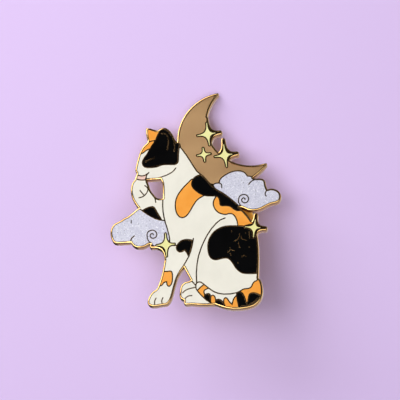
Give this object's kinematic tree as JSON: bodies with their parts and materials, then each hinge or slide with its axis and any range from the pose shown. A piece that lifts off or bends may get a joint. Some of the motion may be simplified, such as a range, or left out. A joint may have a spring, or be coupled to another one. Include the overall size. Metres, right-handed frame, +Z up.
{
  "type": "lapel pin with two posts and butterfly clutches",
  "caption": "Gold-plated hard enamel pin of a calico cat licking its paw before a crescent moon, clouds and stars, held by two posts with butterfly clutches",
  "frame": {"origin": "middle of the post row on the back of the plate", "axes": "+Y out of the back along the posts, +Z up, +X to the viewer's right seen from the front"},
  "size_m": [0.0348, 0.01, 0.046],
  "materials": {
    "plate_gold": "polished gold plate",
    "finding_gold": "bright gold plate",
    "enamel_white": "polished hard enamel",
    "enamel_orange": "polished hard enamel",
    "enamel_black": "polished hard enamel",
    "enamel_pink": "polished hard enamel",
    "enamel_glitter": "glitter enamel",
    "enamel_yellow": "polished hard enamel"
  },
  "bodies": {
    "pin": {"base_plate": "plate_gold", "white_coat": "enamel_white", "white_foreleg": "enamel_white", "white_arm": "enamel_white", "white_hind_paw": "enamel_white", "white_tail_tip": "enamel_white", "white_tail_band": "enamel_white", "orange_ear": "enamel_orange", "orange_brow": "enamel_orange", "orange_shoulder": "enamel_orange", "orange_back": "enamel_orange", "orange_foreleg": "enamel_orange", "orange_tail_stripe": "enamel_orange", "orange_tail_spot": "enamel_orange", "orange_tail_wave": "enamel_orange", "orange_tail_root": "enamel_orange", "black_head": "enamel_black", "black_arm": "enamel_black", "black_back": "enamel_black", "black_haunch": "enamel_black", "black_knee": "enamel_black", "black_tail_spot": "enamel_black", "black_tail_patch": "enamel_black", "black_tail_root": "enamel_black", "pink_mouth": "enamel_pink", "left_cloud": "enamel_glitter", "right_cloud": "enamel_glitter", "top_star": "enamel_yellow", "middle_star": "enamel_yellow", "little_star": "enamel_yellow", "back_star": "enamel_yellow", "chest_star": "enamel_yellow", "left_post": "finding_gold", "right_post": "finding_gold"},
    "left_clutch": {"left_clutch_cup": "finding_gold"},
    "left_outer_wing": {"left_clutch_outer_wing": "finding_gold"},
    "left_inner_wing": {"left_clutch_inner_wing": "finding_gold"},
    "right_clutch": {"right_clutch_cup": "finding_gold"},
    "right_outer_wing": {"right_clutch_outer_wing": "finding_gold"},
    "right_inner_wing": {"right_clutch_inner_wing": "finding_gold"}
  },
  "joints": [
    {"name": "left_clutch_slide", "type": "slide", "parent": "pin", "child": "left_clutch", "axis": [0, 1, 0], "range_m": [-0.0018, 0.009]},
    {"name": "left_outer_squeeze", "type": "hinge", "parent": "left_clutch", "child": "left_outer_wing", "pos_m": [-0.00935, 0.0044, 0], "axis": [0, 0, -1], "range_deg": [0, 6], "stiffness_Nm_per_rad": 0.02},
    {"name": "left_inner_squeeze", "type": "hinge", "parent": "left_clutch", "child": "left_inner_wing", "pos_m": [-0.00365, 0.0044, 0], "axis": [0, 0, 1], "range_deg": [0, 6], "stiffness_Nm_per_rad": 0.02},
    {"name": "right_clutch_slide", "type": "slide", "parent": "pin", "child": "right_clutch", "axis": [0, 1, 0], "range_m": [-0.0018, 0.009]},
    {"name": "right_outer_squeeze", "type": "hinge", "parent": "right_clutch", "child": "right_outer_wing", "pos_m": [0.00935, 0.0044, 0], "axis": [0, 0, 1], "range_deg": [0, 6], "stiffness_Nm_per_rad": 0.02},
    {"name": "right_inner_squeeze", "type": "hinge", "parent": "right_clutch", "child": "right_inner_wing", "pos_m": [0.00365, 0.0044, 0], "axis": [0, 0, -1], "range_deg": [0, 6], "stiffness_Nm_per_rad": 0.02}
  ]
}
